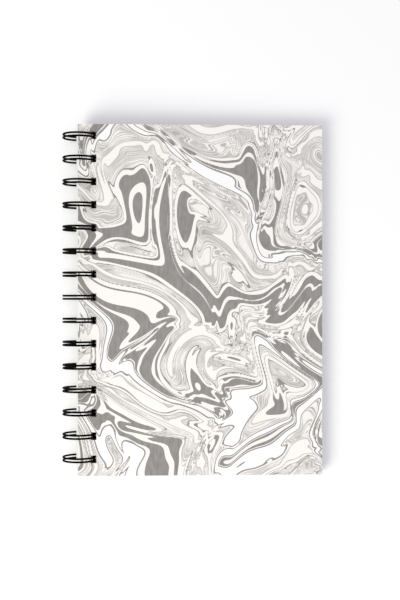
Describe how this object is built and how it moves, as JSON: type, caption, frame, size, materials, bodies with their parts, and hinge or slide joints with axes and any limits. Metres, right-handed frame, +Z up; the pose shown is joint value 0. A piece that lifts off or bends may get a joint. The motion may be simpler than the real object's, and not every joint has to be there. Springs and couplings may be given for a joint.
{
  "type": "spiral notebook",
  "caption": "Closed wire-bound notebook with a marbled front cover, a block of sheets and black twin-loop wire through oblong holes along its spine.",
  "frame": {"origin": "on the table, under the middle of the closed notebook's bounding box", "axes": "+X from the spine towards the fore edge, +Y towards the head, +Z up out of the front cover"},
  "size_m": [0.1435, 0.1932, 0.0185],
  "materials": {
    "marbled_card": "white card printed with warm grey and cream marbling, satin",
    "paper_sheets": "uncoated white writing paper",
    "plain_card": "plain white card",
    "black_wire": "black nylon-coated steel wire, satin"
  },
  "bodies": {
    "back": {"back_cover": "plain_card", "binding_wire": "black_wire"},
    "pages": {"page_block": "paper_sheets"},
    "front": {"front_cover": "marbled_card"}
  },
  "joints": [
    {"name": "pages_turn", "type": "hinge", "parent": "back", "child": "pages", "pos_m": [-0.06253, 0, 0.00928], "axis": [0, -1, 0], "range_deg": [0, 184.4]},
    {"name": "front_cover_turn", "type": "hinge", "parent": "pages", "child": "front", "pos_m": [-0.06253, 0, 0.00928], "axis": [0, -1, 0], "range_deg": [0, 184.4]}
  ]
}
